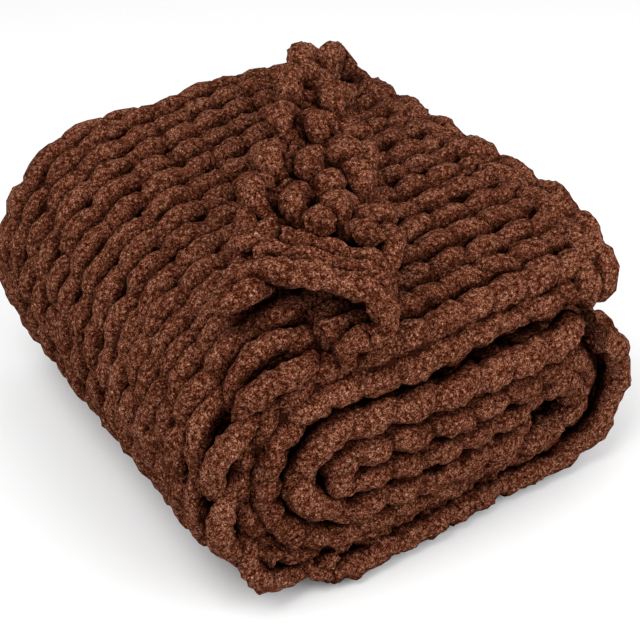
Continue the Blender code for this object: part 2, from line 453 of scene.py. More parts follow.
    def settled(self, points: np.ndarray) -> np.ndarray:
        """Moves points by the soft stack's unevenness, and brings the origin under its middle.

        Args:
            points: places on the even stack.

        Returns:
            The places in the row frame.
        """
        x, y, z = points[..., 0], points[..., 1], points[..., 2]
        lift = smooth((z - self.thickness) / 0.08)
        drawn = self.front_drawn_in * smooth((x - self.left_x) / 0.2) * (1 - y / self.depth)
        drawn = drawn * smooth((self.top_z + 0.02 - z) / 0.12)
        new_x = x + self.wave * np.sin(11 * y + 0.6) * lift - self.middle_x
        new_y = y + self.side_wave * np.sin(17 * x + 9 * z) * lift + drawn - self.middle_y
        new_z = z + self.wave * np.sin(14 * x + 8 * y + 1.1) * lift
        return np.stack([new_x, new_y, new_z], axis=-1)

    def place(self, along: np.ndarray, across: np.ndarray, rise: np.ndarray) -> np.ndarray:
        """Points at these distances along and across the cloth, and this far out from its middle.

        Args:
            along: distances along the stack.
            across: distances across the cloth.
            rise: distances towards the top layer's upper side.

        Returns:
            An array of points in the row frame.
        """
        step = self.normal_step
        here = self.cloth(along, across)
        run = self.cloth(along + step, across) - self.cloth(along - step, across)
        side = self.cloth(along, across + step) - self.cloth(along, across - step)
        normal = np.cross(run, side)
        normal /= np.maximum(np.linalg.norm(normal, axis=-1, keepdims=True), 1e-9)
        flat, past = self.section(across)[2], self.past_crease(along, across)
        lift = self.purl_lift * smooth((self.apex_start - flat) / self.apex_run)
        lifted = rise + lift * smooth(past / self.crease_lift)
        spots = here + normal * lifted[..., None]
        at_apex = smooth((flat - self.apex_start + self.press_lead) / self.press_run)
        spots[..., 2] -= self.apex_press * at_apex * smooth(past / self.press_before_crease + 1)
        return self.settled(spots)


@dataclasses.dataclass
class Gauge:
    """The size of one stitch, in metres."""

    wales: int = 23
    course: float = 0.0325
    loop_height: float = 0.058
    loop_depth: float = 0.0102
    loop_bulge: float = 0.0068
    yarn_radius: float = 0.0114
    points: int = 50
    slipped_course: float = 0.056
    slipped_height: float = 0.078
    edge_margin: float = 0.008
    sunk: float = 0.0005
    first_course: float = 0.018
    fold_reach: float = 0.045
    end_margin: float = 0.004
    slipped_bulge: float = 0.0095
    slipped_depth: float = 0.0105
    slipped_out: float = 0.004
    hem_step: float = 0.0035
    hem_sunk: float = 0.004
    turn_reach: float = 0.004
    turn_inset: float = 0.012
    turn_length: float = 1.95
    chain_overlap: float = 1.55
    chain_width: float = 0.028
    chain_bulge: float = 0.0058
    chain_inset: float = 0.019
    chain_depth: float = 0.007
    wander_across: float = 0.0026
    wander_along: float = 0.0034
    wander_rise: float = 0.0022
    corner_start: float = 0.012
    corner_blend: float = 0.04
    corner_thinner: float = 0.18
    fold_thinner: float = 0.17


@dataclasses.dataclass
class Strand:
    """One run of yarn, as distances on the cloth and the yarn's thickness at each."""

    along: np.ndarray
    across: np.ndarray
    rise: np.ndarray
    radius: np.ndarray

    def thinned(self) -> "Strand":
        """The strand with every second point."""
        return Strand(self.along[::2], self.across[::2], self.rise[::2], self.radius[::2])


@dataclasses.dataclass
class Knitting:
    """Lays plain knitting on the folded stack, as strands of yarn."""

    stack: FoldedStack
    gauge: Gauge

    def __post_init__(self) -> None:
        """Draws the unevenness of each stitch."""
        self.wale = (self.stack.width - 2 * self.gauge.edge_margin) / self.gauge.wales
        self.courses = int(self.stack.length / self.gauge.course) + 1
        draw = np.random.default_rng(SEED)
        self.uneven = draw.uniform(-1.0, 1.0, (self.gauge.wales, self.courses + 2, 6))

    def facing(self, across: np.ndarray) -> np.ndarray:
        """The side that knit stitches show on at each distance across, 1 or -1, and between as it changes."""
        return 2 * smooth((across - self.stack.back_fold_start) / 0.016 + 0.5) - 1

    def course_line(self, across: np.ndarray, passed: float) -> np.ndarray:
        """Distances along the stack of a line that follows the cloth's free edge.

        Args:
            across: distances across the cloth.
            passed: how far the line is past the first course's start.

        Returns:
            The distances.
        """
        edge = self.stack.setback(np.clip(across, 0.0, self.stack.width))
        return edge + self.gauge.first_course + passed

    def loop(self, wale: int, course: int) -> tuple[np.ndarray, ...]:
        """One stitch, from the foot on its left to the foot on its right.

        Args:
            wale: the stitch's column, counted from the back selvage.
            course: its row, counted from the cast-off edge.

        Returns:
            Distances along and across the cloth, rise, and radius.
        """
        g = self.gauge
        t, free, legs = stitch(g.points)
        wander = self.uneven[wale, course]
        left = np.where(t < 0, wander[0], wander[1])
        bulge = g.loop_bulge * (1 + 0.35 * wander[2] + 0.2 * left)
        across = g.edge_margin + (wale + 0.5 + t) * self.wale + bulge * np.sin(4 * math.pi * t)
        across = across + g.wander_across * wander[3] * free
        along = self.course_line(across, (course + 0.5) * g.course)
        along = along - g.loop_height / 2 * np.cos(2 * math.pi * t)
        along = along + g.wander_along * wander[4] * free
        across = across + self.stack.slid(along, across)
        on_corner = smooth((self.stack.past_crease(along, across) - g.corner_start) / g.corner_blend)
        depth = g.loop_depth * self.depth_left(across) * (1 - 0.1 * on_corner)
        rise = self.facing(across) * (depth * (legs - 1) - g.sunk + g.wander_rise * wander[5] * free)
        on_fold = smooth(1.4 - np.abs(across - self.stack.front_fold) / g.fold_reach)
        beaded = legs * (0.09 + 0.10 * on_fold - 0.25 * on_corner)
        plump = 1.02 + beaded + 0.10 * left * free
        radius = g.yarn_radius * (plump - g.corner_thinner * on_corner - g.fold_thinner * on_fold)
        return along, across, rise, radius

    def depth_left(self, across: np.ndarray) -> np.ndarray:
        """How much of the loops' depth there is room for: less inside the tight folds.

        Args:
            across: distances across the cloth.

        Returns:
            The share of the depth at each.
        """
        s = self.stack
        near = np.minimum(np.abs(across - s.front_fold), np.abs(across - s.back_fold))
        return 0.6 + 0.4 * smooth((near - 0.015) / 0.03)

    def rows(self, shown: np.ndarray) -> list[Strand]:
        """The strands of the stitches that are shown.

        Args:
            shown: which stitches are made, as a table of wales by courses.

        Returns:
            One strand for each unbroken run of stitches in a course.
        """
        strands = []
        for course in range(shown.shape[1]):
            run: list[tuple[np.ndarray, ...]] = []
            for wale in range(self.gauge.wales + 1):
                if wale < self.gauge.wales and shown[wale, course]:
                    run.append(self.loop(wale, course))
                elif run:
                    whole = np.stack([np.concatenate(part) for part in zip(*run)])
                    strands += self.within_selvages(whole)
                    run = []
        return strands

    def within_selvages(self, whole: np.ndarray) -> list[Strand]:
        """Cuts a strand where its wales have slid past a selvage.

        Args:
            whole: the strand's distances along and across, rise and radius, as rows.

        Returns:
            The lengths of it that lie on the cloth.
        """
        margin = self.gauge.end_margin
        on_cloth = (whole[1] > margin) & (whole[1] < self.stack.width - margin)
        ends = np.flatnonzero(np.diff(on_cloth.astype(int))) + 1
        pieces = np.split(whole, ends, axis=1)
        kept = np.split(on_cloth, ends)
        return [Strand(*piece) for piece, on in zip(pieces, kept) if on[0] and piece.shape[1] > 6]

    def slipped(self, wale: int, courses: range) -> list[Strand]:
        """The long slipped stitches of the front selvage.

        Args:
            wale: the selvage's wale.
            courses: the slipped stitches that are made.

        Returns:
            A strand for each stitch.
        """
        g = self.gauge
        strands = []
        for course in courses:
            t, free, legs = stitch(int(1.3 * g.points), whole=True)
            wander = self.uneven[wale, course]
            across = g.edge_margin + (wale + 0.5 + t) * self.wale
            across = across + g.slipped_bulge * np.sin(4 * math.pi * t)
            across = across + g.slipped_out + 0.003 * wander[0] * free
            along = self.course_line(across, (course + 0.5) * g.slipped_course)
            along = along - g.slipped_height / 2 * np.cos(2 * math.pi * t)
            depth = g.slipped_depth * (legs - 1) - 0.0015 + 0.002 * wander[1] * free
            rise = self.facing(across) * depth
            radius = g.yarn_radius * (0.72 + 0.12 * legs + 0.05 * wander[2] * free)
            strands.append(Strand(along + 0.004 * wander[3] * free, across, rise, radius))
        return strands

    def hem(self, first: float, last: float, inset: float, share: float = 1.0) -> Strand:
        """A nearly straight beaded rope along the front selvage, where no slipped stitches show.

        Args:
            first: where it starts along the stack.
            last: where it ends.
            inset: how far inside the selvage it lies.
            share: its thickness as a share of the yarn's.

        Returns:
            One strand.
        """
        g = self.gauge
        along = np.arange(first, last, g.hem_step)
        wave = 2 * math.pi * along / g.slipped_course
        across = self.stack.width - inset + 0.0014 * np.sin(wave) + 0.001 * np.sin(0.37 * wave)
        rise = 0.0012 * np.sin(1.7 * wave + 40 * inset) - g.hem_sunk
        radius = g.yarn_radius * share * (1.0 + 0.10 * np.sin(2.1 * wave + 150 * inset))
        return Strand(along, across, rise, radius)

    def turns(self, wale_edge: float, face: Face, outward: float, courses: range) -> list[Strand]:
        """The yarn's turns at a selvage, each joining two courses.

        Args:
            wale_edge: the selvage's distance across the cloth.
            face: the side that the knit stitches show on there.
            outward: the direction out of the cloth across it, 1 or -1.
            courses: the courses that have turns.

        Returns:
            A strand for each turn.
        """
        g = self.gauge
        u = np.linspace(0.0, 1.0, 24)
        strands = []
        for course in courses:
            bow = np.sin(math.pi * u) ** 0.8
            across = wale_edge + outward * (g.turn_reach * bow - g.turn_inset + 0.008 * (u - 0.5))
            start = self.course_line(np.array([wale_edge]), (course + 0.5) * g.course)[0] + g.loop_height / 2
            along = start + (u - 0.5) * g.course * g.turn_length
            rise = face.value * g.loop_depth * (1.7 * bow - 2.3)
            strands.append(Strand(along, across, rise, g.yarn_radius * (0.82 + 0.18 * bow)))
        return strands

    def chain(self, first: float, last: float, face: Face) -> Strand:
        """The cast-off chain along the free edge on the top.

        Args:
            first: where it starts across the cloth.
            last: where it ends.
            face: the side that the knit stitches show on there.

        Returns:
            One strand with a link for each wale.
        """
        g = self.gauge
        links = max(1, round((last - first) / self.wale))
        pitch = (last - first) / links
        parts = []
        for link in range(links):
            t, free, legs = stitch(g.points)
            wander = self.uneven[link % g.wales, self.courses]
            along_link = 0.5 * g.chain_overlap * pitch * np.cos(2 * math.pi * t)
            across = first + (link + 0.5) * pitch + along_link + 0.002 * wander[0] * free
            sideways = g.chain_width * t + g.chain_bulge * np.sin(4 * math.pi * t)
            edge = self.stack.setback(np.clip(across, first, last))
            along = edge + g.chain_inset + sideways + 0.0015 * wander[1] * free
            rise = face.value * (g.chain_depth * legs - 0.002 + 0.001 * wander[2])
            radius = g.yarn_radius * (0.86 + 0.15 * legs + 0.05 * wander[3])
            parts.append(np.stack([along, across, rise, radius]))
        return Strand(*np.concatenate(parts, axis=1))


@dataclasses.dataclass(frozen=True)
class ChenilleFinish:
    """The brown chenille pile: short tufts whose grain runs from painted shade between them to the pile's
    lighter tone with painted sheen at their tips, with painted shade in hollows and between nubs.
    """

    # The first colour is painted shade between the tufts, the second the pile's own brown, the third the
    # pile's lighter tone with painted sheen on the tufts' tips.
    deep: Colour = (0.026, 0.0028, 0.0008)
    middle: Colour = (0.122, 0.032, 0.0135)
    tips_with_painted_sheen: Colour = (0.42, 0.230, 0.155)
    tuft_stops: tuple[float, float, float] = (0.36, 0.5, 0.68)
    tuft: float = 0.0012
    nub: float = 0.0036
    # Painted light on each nub's middle and painted shade between nubs, from the distance to the nearest nub.
    nub_span: tuple[float, float] = (0.15, 0.75)
    painted_nub_light_and_shade: tuple[float, float] = (1.25, 0.35)
    patches: float = 22.0
    patch_span: tuple[float, float] = (0.3, 0.7)
    patch_shade: tuple[float, float] = (0.82, 1.14)
    # Painted shade in hollows: the occlusion node's value, raised to a power, darkens the colour.
    painted_shade_reach: float = 0.018
    painted_shade_power: float = 1.7
    painted_shade_samples: int = 6
    # The tint that painted shade and painted light give the colour: black when fully shaded, a redder dark
    # partway, slightly brighter than the pile where fully open.
    painted_shade_colour: Colour = (0.45, 0.33, 0.28)
    painted_shade_at: float = 0.45
    painted_open_light: Colour = (1.1, 1.1, 1.1)
    nub_height: float = 0.003
    tuft_height: float = 0.0013

    def remapped(
        self, tree: bpy.types.NodeTree, value: bpy.types.NodeSocket, span: tuple, shade: tuple
    ) -> bpy.types.NodeSocket:
        """Turns a value's span into a span of shades."""
        ends = {"From Min": span[0], "From Max": span[1], "To Min": shade[0], "To Max": shade[1]}
        return add_node(tree, "ShaderNodeMapRange", {"Value": value, **ends}).outputs["Result"]

    def painted_shade_and_patches(
        self, tree: bpy.types.NodeTree, place: bpy.types.NodeSocket, nubs: bpy.types.NodeSocket
    ) -> bpy.types.NodeSocket:
        """Painted shade and random tone for each spot: painted shade in hollows from an occlusion node,
        painted light on the nubs and painted shade between them, and darker or lighter patches of the pile's
        tone.

        Args:
            tree: the material's tree.
            place: the spot's Object coordinates.
            nubs: its distance from the nearest nub's middle.

        Returns:
            The socket with the painted shade and the patches' tone.
        """
        # Painted shade: the colour darkens where the occlusion node finds yarn close around.
        reach = {"Distance": self.painted_shade_reach}
        ao_painted_shade = add_node(tree, "ShaderNodeAmbientOcclusion", reach, samples=self.painted_shade_samples)
        powers = {0: ao_painted_shade.outputs["AO"], 1: self.painted_shade_power}
        stronger = add_node(tree, "ShaderNodeMath", powers, operation="POWER").outputs["Value"]
        # Painted light on the nubs and painted shade between them.
        between = self.remapped(tree, nubs, self.nub_span, self.painted_nub_light_and_shade)
        noise = add_node(tree, "ShaderNodeTexNoise", {"Vector": place, "Scale": self.patches, "Detail": 2.0})
        level = self.remapped(tree, noise.outputs["Fac"], self.patch_span, self.patch_shade)
        both = add_node(tree, "ShaderNodeMath", {0: stronger, 1: between}, operation="MULTIPLY")
        darker = {0: both.outputs["Value"], 1: level}
        return add_node(tree, "ShaderNodeMath", darker, operation="MULTIPLY").outputs["Value"]

    def material(self) -> bpy.types.Material:
        """Builds the material.

        Returns:
            The new material.
        """
        made = bpy.data.materials.new("brown chenille pile")
        made.use_nodes = True
        tree = made.node_tree
        place = add_node(tree, "ShaderNodeTexCoord").outputs["Object"]
        look = {"Scale": 1.0 / self.tuft, "Detail": 2.5, "Roughness": 0.65, "Distortion": 0.8}
        grain = add_node(tree, "ShaderNodeTexNoise", {"Vector": place, **look}).outputs["Fac"]
        cells = {"Vector": place, "Scale": 1.0 / self.nub, "Smoothness": 0.4}
        nubs = add_node(tree, "ShaderNodeTexVoronoi", cells, feature="SMOOTH_F1").outputs["Distance"]
        # Fine grain: painted shade between tufts at its dark end, painted sheen on their tips at its light
        # end.
        colours = (self.deep, self.middle, self.tips_with_painted_sheen)
        pile = add_ramp(tree, grain, list(zip(self.tuft_stops, colours)))
        # Painted shade and light: the shade value picks a tint that multiplies the pile's colour.
        stops = [(0.0, (0.0, 0.0, 0.0)), (self.painted_shade_at, self.painted_shade_colour), (1.0, self.painted_open_light)]
        painted_shade_tint = add_ramp(tree, self.painted_shade_and_patches(tree, place, nubs), stops)
        colour = add_node(tree, "ShaderNodeVectorMath", {0: pile, 1: painted_shade_tint}, operation="MULTIPLY")
        rise = {"Height": nubs, "Strength": 0.8, "Distance": self.nub_height}
        rounded = add_node(tree, "ShaderNodeBump", rise, invert=True).outputs["Normal"]
        rise = {"Height": grain, "Normal": rounded, "Strength": 1.0, "Distance": self.tuft_height}
        bump = add_node(tree, "ShaderNodeBump", rise)
        shader = tree.nodes["Principled BSDF"]
        shader.inputs["Roughness"].default_value = 1.0
        shader.inputs["Specular IOR Level"].default_value = 0.0
        tree.links.new(colour.outputs["Vector"], shader.inputs["Base Color"])
        tree.links.new(bump.outputs["Normal"], shader.inputs["Normal"])
        return made


@dataclasses.dataclass(frozen=True)
class PlainFinish:
    """One matt colour."""

    name: str
    colour: Colour
    roughness: float

    def material(self) -> bpy.types.Material:
        """Builds the material.

        Returns:
            The new material.
        """
        made = bpy.data.materials.new(self.name)
        made.use_nodes = True
        shader = made.node_tree.nodes["Principled BSDF"]
        shader.inputs["Base Color"].default_value = (*self.colour, 1.0)
        shader.inputs["Roughness"].default_value = self.roughness
        shader.inputs["Specular IOR Level"].default_value = 0.0
        return made


# A near-black sheet colour: painted shade where the gaps between the loops show.
SHADE_BACKING = PlainFinish("painted shade backing", (0.022, 0.0055, 0.0032), 1.0)
PALE_FLOOR = PlainFinish("pale floor", (0.66, 0.66, 0.66), 0.9)


@dataclasses.dataclass
class YarnSweep:
    """Sweeps strands into soft round yarn with Geometry Nodes."""

    stack: FoldedStack
    material: bpy.types.Material
    sides: int = 24
    hidden_sides: int = 14
    lump: float = 0.0085
    lump_scale: float = 75.0
    nub: float = 0.0055
    nub_scale: float = 150.0
    nub_level: float = 0.45
    floor: float = 0.0004

    def tree(self) -> bpy.types.NodeTree:
        """Builds the node tree that turns a curve into yarn.

        Returns:
            The tree. Its yarn is lumpy, and flattened where it meets the floor.
        """
        tree = bpy.data.node_groups.new("chenille yarn", "GeometryNodeTree")
        face = tree.interface
        face.new_socket("Geometry", in_out="INPUT", socket_type="NodeSocketGeometry")
        face.new_socket("Geometry", in_out="OUTPUT", socket_type="NodeSocketGeometry")
        names = ("Yarn Radius", "Lump Height", "Lump Scale", "Nub Height", "Nub Scale", "Floor", "Seed")
        for name in names:
            face.new_socket(name, in_out="INPUT", socket_type="NodeSocketFloat")
        face.new_socket("Sides", in_out="INPUT", socket_type="NodeSocketInt")
        face.new_socket("Yarn", in_out="INPUT", socket_type="NodeSocketMaterial")
        given = add_node(tree, "NodeGroupInput").outputs
        circle = {"Resolution": given["Sides"], "Radius": given["Yarn Radius"]}
        ring = add_node(tree, "GeometryNodeCurvePrimitiveCircle", circle).outputs["Curve"]
        along = {"Curve": given["Geometry"], "Profile Curve": ring, "Fill Caps": True}
        sweep = add_node(tree, "GeometryNodeCurveToMesh", along)
        if "Scale" in sweep.inputs:
            thick = add_node(tree, "GeometryNodeInputRadius").outputs["Radius"]
            tree.links.new(thick, sweep.inputs["Scale"])
        look = {"Scale": given["Lump Scale"], "W": given["Seed"], "Detail": 3.0, "Roughness": 0.75}
        noise = add_node(tree, "ShaderNodeTexNoise", look, noise_dimensions="4D").outputs["Fac"]
        level = add_node(tree, "ShaderNodeMath", {0: noise, 1: 0.5}, operation="SUBTRACT").outputs["Value"]
        lump = {0: level, 1: given["Lump Height"]}
        height = add_node(tree, "ShaderNodeMath", lump, operation="MULTIPLY").outputs["Value"]
        cells = add_node(tree, "ShaderNodeTexVoronoi", {"Scale": given["Nub Scale"]}, feature="SMOOTH_F1")
        nub = {0: self.nub_level, 1: cells.outputs["Distance"]}
        away = add_node(tree, "ShaderNodeMath", nub, operation="SUBTRACT").outputs["Value"]
        terms = {0: away, 1: given["Nub Height"], 2: height}
        total = add_node(tree, "ShaderNodeMath", terms, operation="MULTIPLY_ADD").outputs["Value"]
        normal = add_node(tree, "GeometryNodeInputNormal").outputs["Normal"]
        push = add_node(tree, "ShaderNodeVectorMath", {0: normal, "Scale": total}, operation="SCALE")
        moved = {"Geometry": sweep.outputs["Mesh"], "Offset": push.outputs["Vector"]}
        lumps = add_node(tree, "GeometryNodeSetPosition", moved).outputs["Geometry"]
        spot = add_node(tree, "GeometryNodeInputPosition").outputs["Position"]
        apart = add_node(tree, "ShaderNodeSeparateXYZ", {"Vector": spot}).outputs
        least = add_node(tree, "ShaderNodeMath", {0: apart["Z"], 1: given["Floor"]}, operation="MAXIMUM")
        axes = {"X": apart["X"], "Y": apart["Y"], "Z": least.outputs["Value"]}
        together = add_node(tree, "ShaderNodeCombineXYZ", axes).outputs["Vector"]
        rest = add_node(tree, "GeometryNodeSetPosition", {"Geometry": lumps, "Position": together})
        soft = add_node(tree, "GeometryNodeSetShadeSmooth", {"Geometry": rest.outputs["Geometry"]})
        real = add_node(tree, "GeometryNodeRealizeInstances", {"Geometry": soft.outputs["Geometry"]})
        dressed = {"Geometry": real.outputs["Geometry"], "Material": given["Yarn"]}
        dress = add_node(tree, "GeometryNodeSetMaterial", dressed)
        add_node(tree, "NodeGroupOutput", {"Geometry": dress.outputs["Geometry"]})
        return tree

    def guide(self, name: str, strands: list[Strand | np.ndarray]) -> bpy.types.Object:
        """Makes a curve that follows the strands, with each point's share of the yarn's radius.

        Args:
            name: the finished piece's name.
            strands: the runs of yarn, either on the cloth or as points with radii.

        Returns:
            The curve object.
        """
        data = bpy.data.curves.new(name, "CURVE")
        data.dimensions = "3D"
        for strand in strands:
            if isinstance(strand, np.ndarray):
                points, radius = strand[:, :3], strand[:, 3]
            else:
                points = self.stack.place(strand.along, strand.across, strand.rise)
                radius = strand.radius
            spline = data.splines.new("POLY")
            spline.points.add(len(points) - 1)
            padded = np.column_stack([points, np.ones(len(points))])
            spline.points.foreach_set("co", padded.ravel())
            spline.points.foreach_set("radius", radius / Gauge.yarn_radius)
        return put_in_scene(name + " guide", data)

    def sweep(self, name: str, strands: list[Strand | np.ndarray], hidden: bool = False) -> bpy.types.Object:
        """Sweeps the strands into one plain mesh.

        Args:
            name: the finished piece's name.
            strands: the runs of yarn.
            hidden: whether it lies where fewer faces do.

        Returns:
            The piece, riding on the root body.
        """
        if hidden:
            strands = [strand.thinned() for strand in strands]
        guide = self.guide(name, strands)
        tree = bpy.data.node_groups.get("chenille yarn") or self.tree()
        modifier = guide.modifiers.new("yarn", "NODES")
        modifier.node_group = tree
        values = {
            "Yarn Radius": Gauge.yarn_radius,
            "Lump Height": self.lump,
            "Lump Scale": self.lump_scale,
            "Nub Height": self.nub,
            "Nub Scale": self.nub_scale,
            "Floor": self.floor,
            "Seed": float(SEED),
            "Sides": self.hidden_sides if hidden else self.sides,
            "Yarn": self.material,
        }
        for item in tree.interface.items_tree:
            if item.in_out == "INPUT" and item.name in values:
                modifier[item.identifier] = values[item.name]
        bpy.context.view_layer.update()
        seen = guide.evaluated_get(bpy.context.evaluated_depsgraph_get())
        mesh = bpy.data.meshes.new_from_object(seen)
        mesh.name = name
        bpy.data.objects.remove(guide, do_unlink=True)
        piece = put_in_scene(name, mesh)
        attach(piece, "root")
        LOG.info("%s: %d strands, %d faces", name, len(strands), len(mesh.polygons))
        return piece


@dataclasses.dataclass
class TopLayer:
    """The knitting of the top layer, from its cast-off edge round the stack to its inside end."""

    knitting: Knitting
    first_wale: int = 15
    hem_insets: tuple[float, float] = (0.012, 0.035)
    corner_insets: tuple[float, ...] = (0.010, 0.030, 0.050)
    corner_hem: tuple[float, float] = (0.131, 0.288)
    core_inset: float = 0.048
    core_depth: float = 0.012
    core_overlap: float = 0.03
    corner_slant: float = 0.3
    corner_share: float = 0.84
    first_slipped: int = 3
    slipped_past: float = 0.012
    hem_lead: float = 0.01
    hem_short: float = 0.03
    inner_past: float = 0.03
    end_short: float = 0.03

    def shown(self) -> np.ndarray:
        """Which stitches are made: all but those deep inside the stack.

        Returns:
            A table of wales by courses.
        """
        k = self.knitting
        table = np.zeros((k.gauge.wales, k.courses), bool)
        table[self.first_wale : k.gauge.wales - 1, :] = True
        for course in range(k.courses):
            along = (course + 1) * k.gauge.course
            if along > k.stack.middle_start + self.inner_past:
                table[self.first_wale + 2 : k.gauge.wales, course] = False
            if along > k.stack.length - self.end_short:
                table[:, course] = False
        return table

    def build(self, sweep: YarnSweep) -> list[bpy.types.Object]:
        """Makes the layer's meshes.

        Args:
            sweep: what turns strands into yarn.

        Returns:
            The top, the left fold, what lies under and inside, and the front selvage.
        """
        shown = self.shown()
        k = self.knitting
        top_end = round(k.stack.top_length / k.gauge.course)
        left_end = round(k.stack.bottom_start / k.gauge.course) + 1
        top, left, under = shown.copy(), shown.copy(), shown.copy()
        top[:, top_end:] = False
        left[:, :top_end] = False
        left[:, left_end:] = False
        under[:, :left_end] = False
        count = int((k.stack.bottom_start + self.slipped_past) / k.gauge.slipped_course)
        hem_start, hem_end = k.stack.bottom_start - self.hem_lead, k.stack.middle_start - self.hem_short
        selvage = k.slipped(k.gauge.wales - 1, range(self.first_slipped, count))
        for inset in self.hem_insets:
            selvage.append(k.hem(hem_start, hem_end, inset))
        core = k.hem(self.corner_hem[1], hem_start + self.core_overlap, self.core_inset)
        selvage.append(dataclasses.replace(core, rise=core.rise - self.core_depth))
        for inset in self.corner_insets:
            start = self.corner_hem[0] + self.corner_slant * inset
            selvage.append(k.hem(start, self.corner_hem[1], inset, self.corner_share))
        return [
            sweep.sweep("top_panel_knitting", k.rows(top)),
            sweep.sweep("left_fold_knitting", k.rows(left)),
            sweep.sweep("under_and_inner_knitting", k.rows(under), hidden=True),
            sweep.sweep("front_selvage", selvage),
        ]


@dataclasses.dataclass
class MiddleLayer:
    """The knitting that shows right of the turned corner, and both the stack's folded sides."""

    knitting: Knitting
    wales: int = 15
    open_wales: range = range(8, 15)
    open_reach: float = 0.05
    edge_wales: tuple[int, ...] = (0, 14)
    edge_margin: float = 0.04
    back_wales: tuple[int, ...] = (12, 13)
    back_span: tuple[float, float] = (0.14, 0.76)
    front_wales: tuple[int, ...] = (6, 7, 8)
    front_margin: float = 0.02

    def shown(self) -> tuple[np.ndarray, np.ndarray, np.ndarray]:
        """Which stitches are made.

        Returns:
            A table for the stretch that shows on the top, one for the front fold and one for the back.
        """
        k = self.knitting
        s = k.stack
        open_part = np.zeros((k.gauge.wales, k.courses), bool)
        front = np.zeros((k.gauge.wales, k.courses), bool)
        back = np.zeros((k.gauge.wales, k.courses), bool)
        for course in range(k.courses):
            for wale in range(self.wales):
                centre = k.gauge.edge_margin + (wale + 0.5) * k.wale
                y, _height, _flat = s.section(np.array([centre]))
                along = float(s.setback(np.array([centre]))[0]) + (course + 0.5) * k.gauge.course
                x = s.top_end_x - along
                share = (float(y[0]) - s.crease_front[1]) / (s.crease_back[1] - s.crease_front[1])
                crease_x = s.crease_front[0] + share * (s.crease_back[0] - s.crease_front[0])
                if wale in self.open_wales and x > crease_x - self.open_reach:
                    open_part[wale, course] = True
                elif wale in self.edge_wales and along < s.length - self.edge_margin:
                    back[wale, course] = True
                elif wale in self.back_wales and self.back_span[0] < along < self.back_span[1]:
                    back[wale, course] = True
                elif wale in self.front_wales and along < s.middle_start + self.front_margin:
                    front[wale, course] = True
                elif course == 0:
                    front[wale, course] = True
        return open_part, front, back

    def build(self, sweep: YarnSweep) -> list[bpy.types.Object]:
        """Makes the layer's meshes.

        Args:
            sweep: what turns strands into yarn.

        Returns:
            The open stretch, the front fold and the back.
        """
        open_part, front, back = self.shown()
        k = self.knitting
        turns = k.turns(0.0, Face.LOWER, -1.0, range(1, k.courses - 4, 2))
        return [
            sweep.sweep("revealed_layer_knitting", k.rows(open_part)),
            sweep.sweep("front_fold_knitting", k.rows(front)),
            sweep.sweep("back_fold_knitting", k.rows(back) + turns, hidden=True),
        ]


@dataclasses.dataclass
class CastOff:
    """The chains along the cloth's free edge on the top."""

    knitting: Knitting

    def build(self, sweep: YarnSweep) -> bpy.types.Object:
        """Makes the chains of the top layer and of the layers below it.

        Args:
            sweep: what turns strands into yarn.

        Returns:
            Both chains as one piece.
        """
        k = self.knitting
        middle = k.stack.top_layer_start
        strands = [
            k.chain(0.0, middle, Face.LOWER),
            k.chain(middle, k.stack.width, Face.UPPER),
        ]
        return sweep.sweep("cast_off_chains", strands)


@dataclasses.dataclass
class InnerFold:
    """The innermost fold on the front face: one wale that turns round the middle of the left fold."""

    knitting: Knitting
    radius: float = 0.0275
    front: float = 0.001
    right_end: float = 0.338
    step: float = 0.018
    course: float = 0.036
    bulge: float = 0.0072
    depth: float = 0.0085

    def place(self, along: np.ndarray, outward: np.ndarray, rise: np.ndarray) -> np.ndarray:
        """Points on the turned wale.

        Args:
            along: distances along its middle line from its upper right end.
            outward: distances out from that line, away from the fold's middle.
            rise: distances towards the front.

        Returns:
            An array of points in the row frame.
        """
        s = self.knitting.stack
        straight = self.right_end - s.left_x
        arc = math.pi * self.radius
        turn = math.pi / 2 + math.pi * np.clip((along - straight) / arc, 0.0, 1.0)
        past = np.maximum(along - straight - arc, 0.0)
        before = np.maximum(straight - along, 0.0)
        reach = self.radius + outward
        x = s.left_x + before + past + reach * np.cos(turn)
        z = s.left_z + reach * np.sin(turn)
        y = self.front - rise
        return s.settled(np.stack([x, y + 0 * x, z], axis=-1))

    def strands(self) -> list[np.ndarray]:
        """The wale's loops.

        Returns:
            For each loop, its points with their radii.
        """
        g = self.knitting.gauge
        length = 2 * (self.right_end - self.knitting.stack.left_x) + math.pi * self.radius - self.step
        parts = []
        for course in range(int(length / self.course)):
            t, free, legs = stitch(g.points)
            wander = self.knitting.uneven[course % g.wales, self.knitting.courses + 1]
            left = np.where(t < 0, wander[3], wander[4])
            outward = 2 * self.radius * t + self.bulge * (1 + 0.4 * left) * np.sin(4 * math.pi * t)
            along = (course + 0.5) * self.course - g.loop_height / 2 * np.cos(2 * math.pi * t)
            along = along + 0.006 * wander[0] * free
            rise = self.depth * (legs - 1) + 0.004 * wander[1] * free
            radius = g.yarn_radius * (1 + 0.12 * legs + 0.10 * left * free)
            spots = self.place(along, outward, rise)
            parts.append(np.column_stack([spots, radius]))
        return parts


